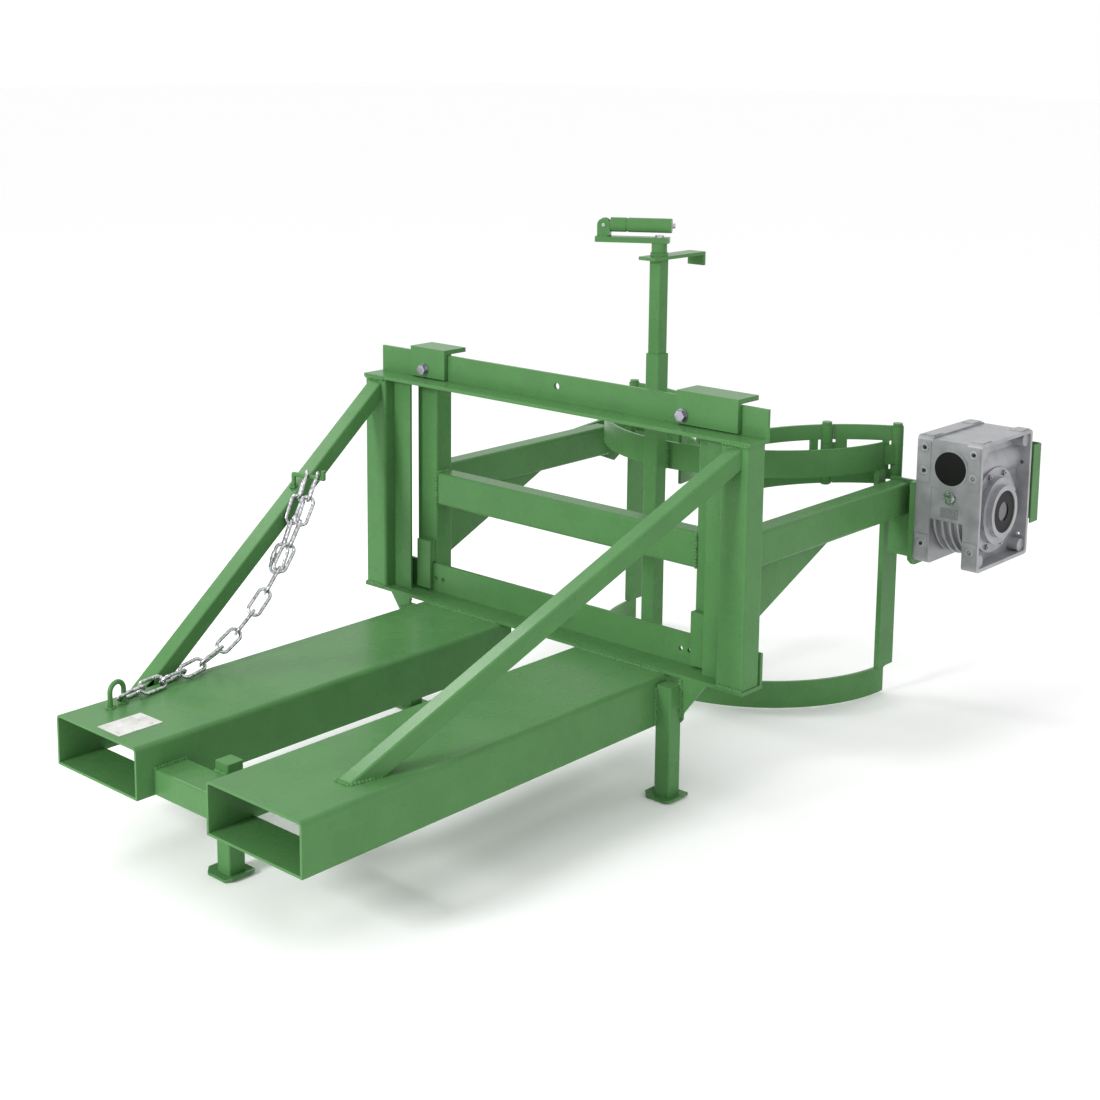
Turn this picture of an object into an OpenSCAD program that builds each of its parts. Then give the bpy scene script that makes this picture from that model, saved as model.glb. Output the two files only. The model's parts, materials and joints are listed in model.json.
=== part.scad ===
// Drum tipper for a fork truck
// X runs to the gearbox side, Y runs forward to the drum, Z is up and the floor is z = 0

/* [Fork pockets] */
// Length of each fork pocket
pocketLength = 800; // [700:10:900]
// Outside width of a pocket
pocketWidth = 200; // [170:5:210]
// Outside height of a pocket
pocketHeight = 80; // [70:1:90]
// Wall of a pocket
pocketWall = 4; // [3:0.5:6]
// Distance from the middle plane to a pocket
pocketInset = 81; // [75:1:85]
// Height of the pockets above the floor
pocketLift = 120; // [100:5:150]

/* [Legs] */
// Side of the square leg tube
legSide = 30; // [25:1:32]
// Wall of the small square tubes
thinWall = 2; // [1.5:0.5:3]
// Side of a foot plate
footSide = 56; // [48:1:60]
// Thickness of a foot plate
footThick = 4; // [3:0.5:8]

/* [Angle frame] */
// Depth of the angle flanges
angleDepth = 54; // [50:1:58]
// Thickness of the angles
angleThick = 6; // [5:0.5:8]
// Height of the bottom angle's upright leg
bottomLegHigh = 58; // [50:1:60]
// Height of the top angle's upright leg
topLegHigh = 52; // [48:1:56]
// Underside of the top angle
topAngleZ = 598; // [580:1:620]
// Width of a corner post
cornerPostWide = 52; // [45:1:55]
// Width of an inner stile
stileWide = 42; // [35:1:45]

/* [Hook frame] */
// Width of a hook post
hookPostWide = 50; // [40:1:52]
// Depth of a hook post
hookPostDeep = 40; // [35:1:42]
// Height of the arm tube
armHigh = 60; // [50:1:64]
// Width of the arm tube
armWide = 40; // [35:1:42]
// Length of the arms behind the hook posts
armLength = 500; // [490:1:505]

/* [Drum ring] */
// Outer radius of the ring bands
ringR = 300; // [298:0.5:302]
// Thickness of the ring bands
bandThick = 6; // [5:0.5:7]
// Height of the ring bands
bandHigh = 50; // [45:1:52]
// Height of the pivot axis
pivotZ = 393; // [385:1:394]
// Underside of the lower band
lowerBandZ = 4; // [3:1:10]

/* [Gate] */
// Height of the gate wings
gateHigh = 110; // [104:1:112]
// Arc of the gate link in degrees
linkArc = 24; // [22:1:26]
// Arc of the right wing in degrees
wingArc = 36; // [30:1:37]
// Arc of the left wing in degrees
leftArc = 88; // [80:1:89]

/* [Clamp] */
// Side of the outer clamp post
postSide = 30; // [28:1:32]
// Side of the sliding clamp tube
slideSide = 25; // [22:1:25]
// Top of the outer clamp post
postTop = 653; // [640:1:670]
// Top of the sliding tube as photographed
slideTop = 824; // [815:1:840]
// Pin distance of the crank
crankReach = 100; // [90:1:110]
// Length of the grip
gripLength = 110; // [90:1:112]

/* [Gearbox] */
// Width of the housing along X
boxWide = 125; // [118:1:130]
// Length of the housing along Y
boxLong = 189; // [184:1:194]
// Distance from the output shaft to the worm
centreDistance = 82; // [80:1:84]
// Thickness of the side flanges of the housing
flangeThick = 30; // [26:1:34]
// Depth of the recess round the output cover
recessDeep = 25; // [20:1:28]
// Diameter of the pivot shafts
shaftD = 35; // [30:1:38]

/* [Chain] */
// Wire of the chain links
wireD = 6; // [5:0.5:6]
// Inside length of a chain link, trimmed so that whole links span the gap
linkNominal = 46; // [44:1:50]
// Outside width of a chain link
linkWide = 27; // [25:0.5:29]

/* [Hidden] */
$fn = 96;
seat = 0.3;
pocketTop = pocketLift + pocketHeight;
pocketOuter = pocketInset + pocketWidth;
crossHigh = pocketHeight / 2;
crossWide = 60;
crossY = 30;
frontLegY = crossY + crossWide + legSide / 2;
frontLegTop = pocketLift + 55;
strapLong = 80;
angleRear = pocketLength + 29;
flangeFront = angleRear - angleDepth;
gussetThick = 3;
rearLegY = flangeFront + gussetThick - legSide / 2;
footCut = 8;
footRise = 4;
legRound = 3;
postBack = angleRear - angleThick;
postFront = flangeFront + 1;
stileFront = postBack - 23;
stileThick = 4;
postZ = pocketTop + angleThick;
armIn = ringR + 29;
armOut = armIn + armWide;
hookIn = armIn - 34;
retainerIn = hookIn + 3;
stileIn = retainerIn + 36;
cornerIn = stileIn + stileWide;
angleHalf = cornerIn + cornerPostWide + 2;
hookBack = angleRear + hookPostDeep;
hookTop = topAngleZ + topLegHigh + 2;
armEnd = hookBack + armLength;
armZ = pivotZ - 25;
ringY = armEnd + 53;
upperBandZ = pivotZ + 44;
crossBeamLong = 2 * hookIn;
ringIn = ringR - bandThick;
uprightIn = ringIn;
uprightThick = 10;
uprightWide = 50;
uprightOut = uprightIn + uprightThick;
hingeX = ringR + 9;
bossR = 34;
barrelR = 11;
pinR = 6;
pinGap = 0.08;
endTurn = asin(23 / (ringR - bandThick / 2));
knuckleZ = upperBandZ + 8;
knuckleHigh = 36;
gateZ = upperBandZ + bandHigh / 2 - gateHigh / 2 - 2;
hingeLow = pivotZ + shaftD / 2 + 4;
gateThick = 6;
gateBand = 28;
restRight = 116;
restLeft = 86;
postY = ringY - ringR - 10 - postSide / 2;
slideWall = 2;
postHole = slideSide + 0.2;
slideLow = 410;
nutZ = 262;
nutHigh = 26;
spindleR = 8;
clawThick = 6;
clawTop = slideTop + clawThick;
clawFront = postY + 117;
clawBack = postY - 36;
neckHigh = 17;
crankZ = clawTop + 6 + neckHigh;
crankThick = 10;
crankTurn = 210.7;
yokeR = 11.4;
gripRise = 21;
gripR = 13;
gripZ = crankZ + crankThick + gripRise;
boxX = armOut + 31;
boxY = ringY - 88;
boxZ = pivotZ - 98;
boxHigh = 98 + centreDistance + 53;
wormX = boxX + boxWide / 2 + 4.5;
wormZ = pivotZ + centreDistance;
plateThick = 8;
plateX = boxX - plateThick;
wormR = 23.7;
wheelR = centreDistance - wormR - seat;
sleeveR = shaftD / 2 + 2.5;
boxTop = boxZ + boxHigh;
boxRear = boxY + boxLong;
coverX = boxX + boxWide - recessDeep;
padProud = 1.5;
coverR = 77;
screwRing = 68.5;
eyeX = -pocketOuter + 38;
eyeY = 83;
sideFoot = [-pocketOuter - legSide / 2, 190, pocketTop];
braceFoot = [pocketOuter - 51, 155, pocketTop];
braceHead = [angleHalf - 29, postFront, topAngleZ - 23];
green = [0.21, 0.42, 0.21];
zinc = [0.66, 0.66, 0.68];
boxGrey = [0.55, 0.56, 0.57];
darkSteel = [0.3, 0.3, 0.31];
blackPlastic = [0.05, 0.05, 0.05];

// Shared shapes

module roundRect(w, h, r) {
  square([w - 2 * r, h], center = true);
  square([w, h - 2 * r], center = true);
  for (i = [-1, 1]) for (j = [-1, 1])
    translate([i * (w / 2 - r), j * (h / 2 - r)]) circle(r);
}

// Rectangular tube along Z, centred on its axis
module tube(w, d, length, wall, r) {
  difference() {
    linear_extrude(length) roundRect(w, d, r);
    translate([0, 0, -1]) linear_extrude(length + 2)
      roundRect(w - 2 * wall, d - 2 * wall, max(r - wall, 0.5));
  }
}

// Rectangular tube along Y from y = 0
module tubeY(w, h, length, wall, r) {
  translate([0, length, 0]) rotate([90, 0, 0]) tube(w, h, length, wall, r);
}

// Rectangular tube along X, centred
module tubeX(d, h, length, wall, r) {
  translate([-length / 2, 0, 0]) rotate([90, 0, 90]) tube(d, h, length, wall, r);
}

module bothSides() {
  children();
  mirror([1, 0, 0]) children();
}

// Plate in the YZ plane from a list of Y and Z points
module plateYZ(points, thick) {
  rotate([90, 0, 90]) linear_extrude(thick) polygon(points);
}

// Plate in the XZ plane that grows toward +Y
module plateXZ(points, thick) {
  translate([0, thick, 0]) rotate([90, 0, 0]) linear_extrude(thick) polygon(points);
}

// Hexagonal bolt head or nut with a washer, standing on z = 0
module hexHead(across, high, washer) {
  cylinder(r = washer, h = 1.6);
  translate([0, 0, 1.6]) cylinder(r = across / sqrt(3), h = high, $fn = 6);
}

// Sector of a circle as a polygon wider than the ring
module sector(from, to, r) {
  polygon(concat([[0, 0]], [for (i = [0:8])
    let (a = from + (to - from) * i / 8) [r * cos(a), r * sin(a)]]));
}

// Curved band of the ring between two angles, with its middle line at radius r
module band(r, thick, from, to, z, high) {
  translate([0, 0, z]) intersection() {
    difference() {
      cylinder(r = r + thick / 2, h = high, $fn = 180);
      translate([0, 0, -1]) cylinder(r = r - thick / 2, h = high + 2, $fn = 180);
    }
    linear_extrude(high) sector(from, to, 2 * r);
  }
}

// Base frame

module pocket() {
  translate([pocketInset + pocketWidth / 2, 0, 0]) difference() {
    translate([0, 0, pocketLift + pocketHeight / 2 - 10])
      tubeY(pocketWidth, pocketHeight + 20, pocketLength, pocketWall, 8);
    translate([-pocketWidth, -1, pocketLift - 60]) cube([2 * pocketWidth, pocketLength + 2, 60]);
  }
}

module right_fork_pocket() {
  color(green) pocket();
}

module left_fork_pocket() {
  color(green) mirror([1, 0, 0]) pocket();
}

// Flat straps close the open underside of the pockets at both ends
module pocket_straps() {
  color(green) bothSides() for (y = [0, pocketLength - strapLong])
    translate([pocketInset + pocketWall, y, pocketLift])
      cube([pocketWidth - 2 * pocketWall, strapLong, pocketWall]);
}

module front_crossbar() {
  color(green) translate([0, crossY + crossWide / 2, pocketLift + crossHigh / 2])
    tubeX(crossWide, crossHigh, 2 * pocketInset, 3, 4);
}

module leg(high) {
  translate([0, 0, footThick]) tube(legSide, legSide, high - 2 - footThick, thinWall, legRound);
  translate([0, 0, high - 2]) linear_extrude(2) roundRect(legSide, legSide, legRound);
}

module legs() {
  color(green) {
    translate([0, frontLegY, 0]) leg(frontLegTop);
    bothSides() translate([pocketOuter + legSide / 2, rearLegY, 0]) leg(pocketTop - 10);
  }
}

// Thin plate whose right and left ends turn up
module footPlate() {
  a = footSide / 2;
  b = a - footCut;
  intersection() {
    linear_extrude(footRise + footThick)
      polygon([[-b, -a], [b, -a], [a, -b], [a, b], [b, a], [-b, a], [-a, b], [-a, -b]]);
    translate([0, -a, 0]) plateXZ([[-a, footRise], [10 - a, 0], [a - 10, 0], [a, footRise],
      [a, footRise + footThick], [a - 10, footThick], [10 - a, footThick], [-a, footRise + footThick]],
      footSide);
  }
}

module foot_plates() {
  color(green) {
    translate([0, frontLegY, 0]) footPlate();
    bothSides() translate([pocketOuter + legSide / 2, rearLegY, 0]) footPlate();
  }
}

module leg_gussets() {
  legX = pocketOuter + legSide;
  color(green) bothSides() translate([0, flangeFront, 0])
    plateXZ([[legX, pocketTop], [legX + 49, pocketTop], [legX + 6, pocketTop - 58],
      [legX + 5, pocketTop - 69], [legX, pocketTop - 75]], gussetThick);
}

module angle(z, legHigh) {
  translate([-angleHalf, 0, z]) plateYZ([[flangeFront, 0], [angleRear, 0], [angleRear, legHigh],
    [postBack, legHigh], [postBack, angleThick], [flangeFront, angleThick]], 2 * angleHalf);
}

module bottom_angle() {
  color(green) difference() {
    angle(pocketTop, bottomLegHigh);
    bothSides() for (x = [hookIn - 22, hookIn - 4]) translate([x, angleRear + 1, pocketTop + 30])
      rotate([90, 0, 0]) cylinder(r = 4.25, h = angleThick + 2);
  }
}

module top_angle() {
  color(green) difference() {
    angle(topAngleZ, topLegHigh);
    translate([liftHoleX, angleRear + 1, topAngleZ + 31]) rotate([90, 0, 0])
      cylinder(r = 6, h = angleThick + 2);
    for (x = [leftBoltX, rightBoltX]) translate([x, angleRear + 1, hookBoltZ]) rotate([90, 0, 0])
      cylinder(r = 6.5, h = angleThick + 2);
  }
}

module corner_posts() {
  color(green) bothSides()
    translate([cornerIn + cornerPostWide / 2, (postFront + postBack) / 2, postZ])
      tube(cornerPostWide, postBack - postFront, topAngleZ - postZ, 3, 5);
}

module inner_stiles() {
  color(green) bothSides() translate([stileIn, stileFront, postZ])
    cube([stileWide, stileThick, topAngleZ - postZ]);
}

module brace() {
  run = braceHead - braceFoot;
  flat = norm([run.x, run.y]);
  intersection() {
    translate(braceFoot)
      rotate([atan2(run.z, flat), 0, -atan2(run.x, run.y)])
        translate([0, -120, 0]) tubeY(legSide, legSide, norm(run) + 240, thinWall, legRound);
    translate([0, -200, pocketTop]) cube([600, 200 + postFront, 600]);
  }
}

module right_brace() {
  color(green) brace();
}

// The left brace runs down the outer side of its pocket
sideHead = [-braceHead.x, braceHead.y, braceHead.z];

module alongLeftBrace(t) {
  run = sideHead - sideFoot;
  translate(sideFoot + t * run)
    rotate([atan2(run.z, norm([run.x, run.y])), 0, -atan2(run.x, run.y)]) children();
}

module left_brace() {
  color(green) intersection() {
    alongLeftBrace(0) translate([0, -150, 0])
      tubeY(legSide, legSide, norm(sideHead - sideFoot) + 270, thinWall, legRound);
    translate([-600, -200, pocketLift + 25]) cube([600 - pocketOuter, 200 + postFront, 600]);
  }
}

// Safety chain and its fittings

// Bar bent into a half ring with two legs, standing on z = 0 in the XZ plane
module staple(r, wire, legHigh) {
  translate([0, 0, legHigh]) rotate([90, 0, 0]) rotate_extrude(angle = 180)
    translate([r, 0]) circle(wire / 2, $fn = 48);
  for (s = [-1, 1]) translate([s * r, 0, 0]) cylinder(r = wire / 2, h = legHigh, $fn = 48);
}

module chain_eye() {
  color(green) translate([eyeX, eyeY, pocketTop]) rotate([0, 0, chordTurn]) staple(14, 8, 24);
}

// Link with its long way along X
module chainLink() {
  bend = (linkWide - wireD) / 2;
  straight = linkInner - 2 * bend + wireD;
  for (s = [0, 180]) rotate([0, 0, s]) translate([straight / 2, 0, 0]) rotate([0, 0, -90])
    rotate_extrude(angle = 180) translate([bend, 0]) circle(wireD / 2, $fn = 48);
  for (s = [-1, 1]) translate([-straight / 2, s * bend, 0]) rotate([0, 90, 0])
    cylinder(r = wireD / 2, h = straight, $fn = 48);
}

braceRun = sideHead - sideFoot;
hookShare = 0.6;
hookAt = sideFoot + hookShare * braceRun;
hookYaw = -atan2(braceRun.x, braceRun.y);
hookRise = 40;
hookRod = 4;
chainSide = legSide / 2 + 34.5;
doubledSide = 23;
hangPoint = hookAt + [chainSide * cos(hookYaw) - 2.65 * sin(hookYaw),
  chainSide * sin(hookYaw) + 2.65 * cos(hookYaw), hookRise + 4.6];
eyePoint = [eyeX, eyeY, pocketTop + 10.8];
chordFlat = norm([eyePoint.x - hangPoint.x, eyePoint.y - hangPoint.y]) - 14 + 4 + 1.35;
chordDrop = hangPoint.z - eyePoint.z;
chord = norm([chordFlat, chordDrop]);
chordTurn = atan2(eyePoint.y - hangPoint.y, eyePoint.x - hangPoint.x);
chainCount = round(1.1 * chord / (linkNominal - 0.5));
flatLinks = 3.5;

// The chain hangs as a catenary and its last links lie on the pocket. hang is the slope of one
// link, and sag finds the slope rate that makes the row of links end at the eye
function hang(k, i) = atan(max(0, k * (chainCount - flatLinks - i)));
function sumTo(k, n) = n == 0 ? [0, 0] : sumTo(k, n - 1) + [cos(hang(k, n - 1)), -sin(hang(k, n - 1))];
function sag(lo, hi, n) = let (m = (lo + hi) / 2, sum = sumTo(m, chainCount)) n == 0 ? m :
  -sum.y * chordFlat < chordDrop * sum.x ? sag(m, hi, n - 1) : sag(lo, m, n - 1);
slopeRate = sag(0, 5, 40);
chainPitch = chord / norm(sumTo(slopeRate, chainCount));
linkInner = chainPitch + 0.5;

// The chain is doubled back beside the first links and ends in a quick link
doubledTurn = 60;
doubledLinks = 3;

module inChainPlane() {
  translate(hangPoint) rotate([0, 0, chordTurn]) children();
}

module onDoubled(i) {
  translate(hookAt) rotate([0, 0, hookYaw]) translate([chainSide - doubledSide, 2.65, hookRise + 4.6])
    rotate([0, 0, -90]) rotate([0, doubledTurn, 0]) translate([chainPitch * (i + 0.5), 0, 0])
      rotate([45 + 90 * (i % 2), 0, 0]) children();
}

module safety_chain() {
  color(zinc) {
    inChainPlane() for (i = [0:chainCount - 1]) {
      here = chainPitch * (sumTo(slopeRate, i) + sumTo(slopeRate, i + 1)) / 2;
      translate([here.x, 0, here.y]) rotate([0, hang(slopeRate, i), 0])
        rotate([45 + 90 * (i % 2), 0, 0]) chainLink();
    }
    for (i = [0:doubledLinks - 1]) onDoubled(i) chainLink();
  }
}

module quick_link() {
  color(zinc) onDoubled(doubledLinks) {
    chainLink();
    translate([-8, (linkWide - wireD) / 2, 0]) rotate([0, 90, 0]) cylinder(r = 5.2, h = 16, $fn = 6);
  }
}

// Bent rod with a riser on the top face of the brace and a peg for the chain
module rod_hook() {
  color(green) difference() {
    translate(hookAt) rotate([0, 0, hookYaw]) {
      cylinder(r = hookRod, h = hookRise);
      translate([0, 0, hookRise]) {
        sphere(hookRod);
        rotate([0, 90, 0]) cylinder(r = hookRod, h = chainSide + 16);
        translate([chainSide + 16, 0, 0]) sphere(hookRod);
        translate([chainSide + 16, 0, 0]) cylinder(r = hookRod, h = 14);
      }
    }
    alongLeftBrace(hookShare) cube([legSide, 90, legSide], center = true);
  }
}

module label_plate() {
  color([0.9, 0.9, 0.88]) translate([-pocketInset - 110, 11, pocketTop]) cube([55, 78, 1]);
}

// Hook frame that hangs on the top angle

leftBoltX = -hookIn - 18;
rightBoltX = hookIn - 23;
hookBoltZ = topAngleZ + 22;
liftHoleX = -2;

module hook_posts() {
  color(green) bothSides() translate([hookIn + hookPostWide / 2, (angleRear + hookBack) / 2, pocketTop + 5])
    tube(hookPostWide, hookPostDeep, hookTop - pocketTop - 5, 3, 4);
}

module crossbeam() {
  color(green) translate([0, (angleRear + hookBack) / 2, armZ + armHigh / 2])
    tubeX(hookPostDeep, armHigh, crossBeamLong, 3, 5);
}

module arm() {
  translate([armIn + armWide / 2, hookBack, armZ + armHigh / 2])
    tubeY(armWide, armHigh, armLength, 3, 6);
}

module arms() {
  color(green) bothSides() arm();
}

module arm_gussets() {
  color(green) bothSides() translate([hookIn + hookPostWide - 9, 0, 0])
    plateYZ([[hookBack, armZ], [hookBack + 296, armZ], [hookBack, armZ - 128]], 8);
}

module upperHook(x, wide) {
  top = hookTop + 8;
  translate([x, 0, 0]) plateYZ([[hookBack, hookTop], [hookBack, top], [postBack - 9, top],
    [postBack - 9, topAngleZ + 8], [postBack - 1, topAngleZ + 8], [postBack - 1, hookTop]], wide);
}

module upper_hooks() {
  color(green) difference() {
    union() {
      upperHook(rightBoltX - 12, 120);
      mirror([1, 0, 0]) upperHook(-leftBoltX - 52, 86);
    }
    for (x = [leftBoltX, rightBoltX]) translate([x, angleRear + 1, hookBoltZ]) rotate([90, 0, 0])
      cylinder(r = 6.5, h = 30);
  }
}

module hook_bolts() {
  color(zinc) for (x = [leftBoltX, rightBoltX])
    translate([x, postBack - 9, hookBoltZ]) rotate([90, 0, 0]) {
      hexHead(17, 7, 11);
      translate([0, 0, -15]) cylinder(r = 5.9, h = 15);
    }
}

module lower_retainers() {
  color(green) bothSides() translate([retainerIn, 0, 0])
    plateYZ([[postBack - 8.3, pocketTop + 10], [postBack - 0.3, pocketTop + 10],
      [postBack - 0.3, pocketTop + bottomLegHigh + 2], [angleRear, pocketTop + bottomLegHigh + 2],
      [angleRear, pocketTop + 100], [postBack - 8.3, pocketTop + 100]], stileIn - retainerIn - 2.3);
}

module gearbox_plate() {
  color(green) {
    difference() {
      translate([plateX, 0, 0]) plateYZ([[boxY - 4, boxZ + 2], [boxY - 4, boxZ + 145],
        [boxY + boxLong - 8, boxZ + 145], [boxY + boxLong - 8, boxZ - 8], [boxY + 8, boxZ - 8]],
        plateThick);
      translate([plateX - 1, ringY, pivotZ]) rotate([0, 90, 0]) cylinder(r = 30, h = 20);
      for (y = [boxY + 16, boxY + boxLong - 22])
        translate([plateX - 1, y, boxZ + 8]) rotate([0, 90, 0]) cylinder(r = 5.5, h = 20);
      for (y = [boxY + 16, boxY + boxLong - 22])
        translate([plateX - 1, y, boxZ + 130]) rotate([0, 90, 0]) cylinder(r = 5.5, h = 20);
    }
    translate([armIn, armEnd, boxZ - 4]) cube([plateX - armIn, 8, 142]);
  }
}

module left_bearing_plate() {
  color(green) difference() {
    translate([-armOut - plateThick, 0, 0]) plateYZ([[armEnd - 60, armZ + 4],
      [armEnd - 60, armZ + armHigh - 4], [ringY + 10, armZ + armHigh + 6],
      [ringY + 42, armZ + armHigh - 10], [ringY + 42, armZ - 12], [ringY + 12, armZ - 30],
      [ringY - 30, armZ - 14]], plateThick);
    translate([-armOut - plateThick - 1, ringY, pivotZ]) rotate([0, 90, 0]) cylinder(r = 26, h = 20);
  }
}

module left_pivot_bush() {
  color(green) translate([-armOut - 14, ringY, pivotZ]) rotate([0, 90, 0]) difference() {
    union() {
      cylinder(r = 26, h = armOut + 14 - hingeX - barrelR - 1.5);
      cylinder(r = 32, h = 14 - plateThick);
    }
    translate([0, 0, -1]) cylinder(r = shaftD / 2 + 0.08, h = 90);
  }
}

// Rotor with its two half rings

module middleKnuckle() {
  translate([hingeX, ringY, knuckleZ]) cylinder(r = barrelR, h = knuckleHigh);
  translate([0, ringY, knuckleZ]) linear_extrude(knuckleHigh)
    polygon([[ringIn - 0.6, -25], [ringR - 0.6, -27], [hingeX + 5, -8], [hingeX - 5, -6]]);
}

module back_ring() {
  color(green) difference() {
    union() {
      translate([0, ringY, 0])
        band(ringR - bandThick / 2, bandThick, -180 + endTurn, -endTurn, upperBandZ, bandHigh);
      bothSides() middleKnuckle();
    }
    bothSides() translate([hingeX, ringY, 0]) cylinder(r = pinR + 0.02, h = 900);
  }
}

module lower_ring() {
  color(green) translate([0, ringY, 0])
    band(ringR - bandThick / 2, bandThick, -180, 0, lowerBandZ, bandHigh);
}

module upright() {
  z0 = lowerBandZ + bandHigh;
  half = uprightWide / 2;
  translate([uprightIn, 0, 0]) plateYZ([[ringY - half, z0], [ringY + half, z0],
    [ringY + half, gateZ - 4], [ringY - 18, gateZ - 4], [ringY - 27, gateZ + 5],
    [ringY - 27, upperBandZ], [ringY - 52, upperBandZ], [ringY - 52, gateZ - 10],
    [ringY - half, gateZ - 45]], uprightThick);
}

module uprights() {
  color(green) bothSides() upright();
}

// Shaft with a boss whose top is cut away under the gate hinge
module pivotShaft(length) {
  translate([uprightOut, ringY, pivotZ]) rotate([0, 90, 0]) {
    difference() {
      cylinder(r = bossR, h = 10);
      translate([-60 - shaftD / 2, -50, -1]) cube([60, 100, 12]);
    }
    cylinder(r = shaftD / 2, h = length);
  }
}

module right_pivot_shaft() {
  color(darkSteel) pivotShaft(boxX + boxWide - uprightOut);
}

module left_pivot_shaft() {
  color(green) mirror([1, 0, 0]) {
    pivotShaft(armOut + 16 - uprightOut);
    translate([armOut + 16, ringY, pivotZ]) rotate([0, 90, 0]) cylinder(r = 24, h = 5);
  }
}

module clamp_post() {
  color(green) translate([0, postY, lowerBandZ + 1])
    tube(postSide, postSide, postTop - lowerBandZ - 1, (postSide - postHole) / 2, legRound);
}

module post_pads() {
  color(green) difference() {
    for (z = [lowerBandZ + 2, upperBandZ + 1])
      translate([-postSide / 2 + 3, postY + postSide / 2, z]) cube([postSide - 6, 14, bandHigh - 4]);
    translate([0, ringY, 0]) cylinder(r = ringR + 0.03, h = 900, $fn = 180);
  }
}

module spindle_nut() {
  color(zinc) translate([0, postY, nutZ]) difference() {
    linear_extrude(nutHigh) roundRect(postHole, postHole, 1.2);
    translate([0, 0, -1]) cylinder(r = spindleR + 0.06, h = nutHigh + 2);
  }
}

module pin(low, high) {
  translate([0, 0, low]) cylinder(r = pinR, h = high - low);
  translate([0, 0, high]) cylinder(r = 9, h = 5);
  translate([0, 0, low - 2]) cylinder(r = 8, h = 2);
}

module hinge_pins() {
  color(zinc) bothSides() translate([hingeX, ringY, 0]) pin(hingeLow - seat, gateZ + gateHigh + seat);
}

module cable_tie() {
  color([0.88, 0.88, 0.86]) translate([0, ringY, 0]) rotate([0, 0, -150]) translate([ringR - 3, 0, 0])
    difference() {
      translate([-bandThick / 2 - 1.9, -2.2, upperBandZ - 1.9])
        cube([bandThick + 3.8, 4.4, bandHigh + 3.8]);
      translate([-bandThick / 2 - 0.1, -3, upperBandZ - 0.1]) cube([bandThick + 0.2, 6, bandHigh + 0.2]);
    }
}

// Gate wings, drawn closed and then swung about their hinges

// Two bars with uprights between them, as one curved wing from one angle to another
module wingPanel(from, to, stiles) {
  band(hingeX, gateThick, from, to, gateZ, gateBand);
  band(hingeX, gateThick, from, to, gateZ + gateHigh - gateBand, gateBand);
  for (a = stiles) band(hingeX, gateThick, a[0], a[1], gateZ + 1, gateHigh - 2);
}

module knuckle(low, high) {
  translate([0, 0, low]) cylinder(r = barrelR, h = high - low);
}

function onGate(a) = [hingeX * cos(a), hingeX * sin(a)];

module swungRight(turn) {
  translate([hingeX, ringY, 0]) rotate([0, 0, turn]) translate([-hingeX, 0, 0]) children();
}

module swungLeft(turn) {
  translate([-hingeX, ringY, 0]) rotate([0, 0, -turn]) translate([hingeX, 0, 0]) children();
}

module linkBody() {
  difference() {
    union() {
      wingPanel(0.6, linkArc - 0.6, [[2.6, 5], [linkArc - 7, linkArc - 3.2]]);
      translate([hingeX, 0, 0]) {
        knuckle(hingeLow, knuckleZ - seat);
        knuckle(knuckleZ + knuckleHigh + seat, gateZ + gateHigh);
      }
      translate(onGate(linkArc)) knuckle(knuckleZ, knuckleZ + knuckleHigh);
      band(hingeX, gateThick, linkArc - 7, linkArc - 0.5, knuckleZ, knuckleHigh);
    }
    translate([hingeX, 0, 0]) cylinder(r = pinR + pinGap, h = 900);
    translate([hingeX, 0, 0]) cylinder(r = bossR + 2, h = hingeLow);
    translate(onGate(linkArc)) cylinder(r = pinR + 0.02, h = 900);
    translate([hingeX, 0, knuckleZ - seat]) cylinder(r = barrelR + 2, h = knuckleHigh + 2 * seat);
    translate(concat(onGate(linkArc), [gateZ - 1])) cylinder(r = barrelR + 1.5, h = knuckleZ - gateZ + 1);
    translate(concat(onGate(linkArc), [knuckleZ + knuckleHigh]))
      cylinder(r = barrelR + 1.5, h = gateHigh);
  }
}

module gate_link() {
  color(green) swungRight(restRight) linkBody();
}

module middle_pin() {
  color(zinc) swungRight(restRight) translate(onGate(linkArc))
    pin(gateZ - seat, gateZ + gateHigh + seat);
}

module right_wing() {
  far = linkArc + wingArc;
  color(green) swungRight(restRight) difference() {
    union() {
      wingPanel(linkArc + 0.6, far, [[linkArc + 3.2, linkArc + 6], [far - 4, far]]);
      translate(onGate(linkArc)) {
        knuckle(gateZ, knuckleZ - seat);
        knuckle(knuckleZ + knuckleHigh + seat, gateZ + gateHigh);
      }
    }
    translate(onGate(linkArc)) cylinder(r = pinR + pinGap, h = 900);
    translate(concat(onGate(linkArc), [knuckleZ - seat]))
      cylinder(r = barrelR + 1.5, h = knuckleHigh + 2 * seat);
  }
}

module left_wing() {
  color(green) swungLeft(restLeft) mirror([1, 0, 0]) difference() {
    union() {
      wingPanel(0.6, leftArc, [[2.6, 5], [leftArc / 2 - 2, leftArc / 2 + 2], [leftArc - 4, leftArc]]);
      translate([hingeX, 0, 0]) {
        knuckle(hingeLow, knuckleZ - seat);
        knuckle(knuckleZ + knuckleHigh + seat, gateZ + gateHigh);
      }
    }
    translate([hingeX, 0, 0]) cylinder(r = pinR + pinGap, h = 900);
    translate([hingeX, 0, 0]) cylinder(r = bossR + 2, h = hingeLow);
    translate([hingeX, 0, knuckleZ - seat]) cylinder(r = barrelR + 2, h = knuckleHigh + 2 * seat);
  }
}

module gate_latch() {
  color(zinc) swungLeft(restLeft) mirror([1, 0, 0]) rotate([0, 0, leftArc - 7])
    translate([hingeX - gateThick / 2 - 4.7, 0, gateZ + gateHigh - 24]) {
      translate([0, -18, 0]) cube([4, 36, 20]);
    }
}

// Clamp that slides in the post

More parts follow.
